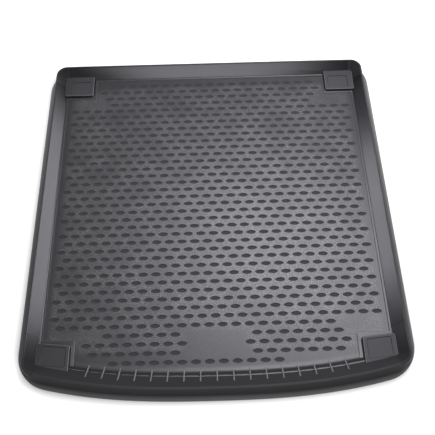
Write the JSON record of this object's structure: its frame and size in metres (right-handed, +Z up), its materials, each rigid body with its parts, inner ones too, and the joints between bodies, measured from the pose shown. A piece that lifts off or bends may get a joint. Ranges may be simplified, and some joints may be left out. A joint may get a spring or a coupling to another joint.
{
  "type": "car boot liner",
  "caption": "Moulded rubber tray liner for a large car boot, with a raised rim, lens-shaped anti-slip pits, four corner pads and a ribbed front edge.",
  "frame": {"origin": "bottom centre of the liner, on the surface that it lies on", "axes": "+X to the right and +Y towards the seats as seen from behind the car, +Z up out of the tray; the bowed front edge, at the boot's sill, faces -Y"},
  "size_m": [1.112, 1.196, 0.0425],
  "materials": {
    "liner_rubber": "satin, dark grey, smooth on the walls and finely grained on the floor"
  },
  "bodies": {
    "root": {"boot_liner": "liner_rubber"}
  },
  "joints": []
}
